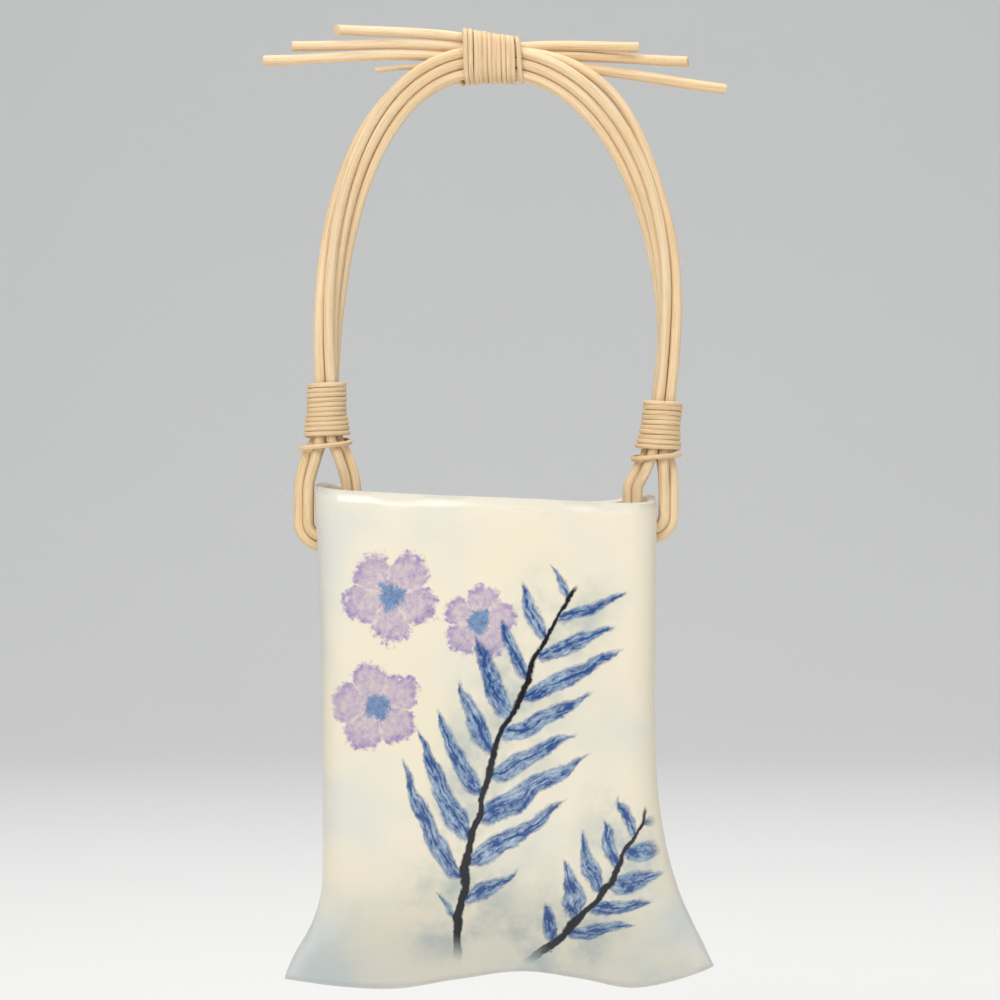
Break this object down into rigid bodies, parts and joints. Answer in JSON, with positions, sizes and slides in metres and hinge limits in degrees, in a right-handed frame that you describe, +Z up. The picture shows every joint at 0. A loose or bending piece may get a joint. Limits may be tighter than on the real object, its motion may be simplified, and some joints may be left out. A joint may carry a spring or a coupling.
{
  "type": "hanging wall vase",
  "caption": "Slab-built porcelain pocket vase with a pinched wavy hem, hung from a handle of bent round reed bound with thin cane.",
  "frame": {"origin": "the hanging point: the middle of the underside of the top lashing, where the handle rests on its hook", "axes": "+Z up, +X to the right seen from the front, +Y towards the wall behind; the arches of the handle lie in the XZ plane"},
  "size_m": [0.1542, 0.0436, 0.3236],
  "materials": {
    "porcelain": "glossy cream glaze with soft blue washes",
    "reed": "dry satin round reed",
    "cane": "dry satin thin cane"
  },
  "bodies": {
    "handle": {"reed_upper": "reed", "reed_middle": "reed", "reed_lower": "reed", "lashing_top": "cane", "lashing_left": "cane", "lashing_right": "cane"},
    "vase": {"vase_body": "porcelain"}
  },
  "joints": [
    {"name": "vase_swing", "type": "hinge", "parent": "handle", "child": "vase", "pos_m": [-0.0017, 0, -0.15035], "axis": [0.9997, 0, 0.0229], "range_deg": [-26, 24]}
  ]
}
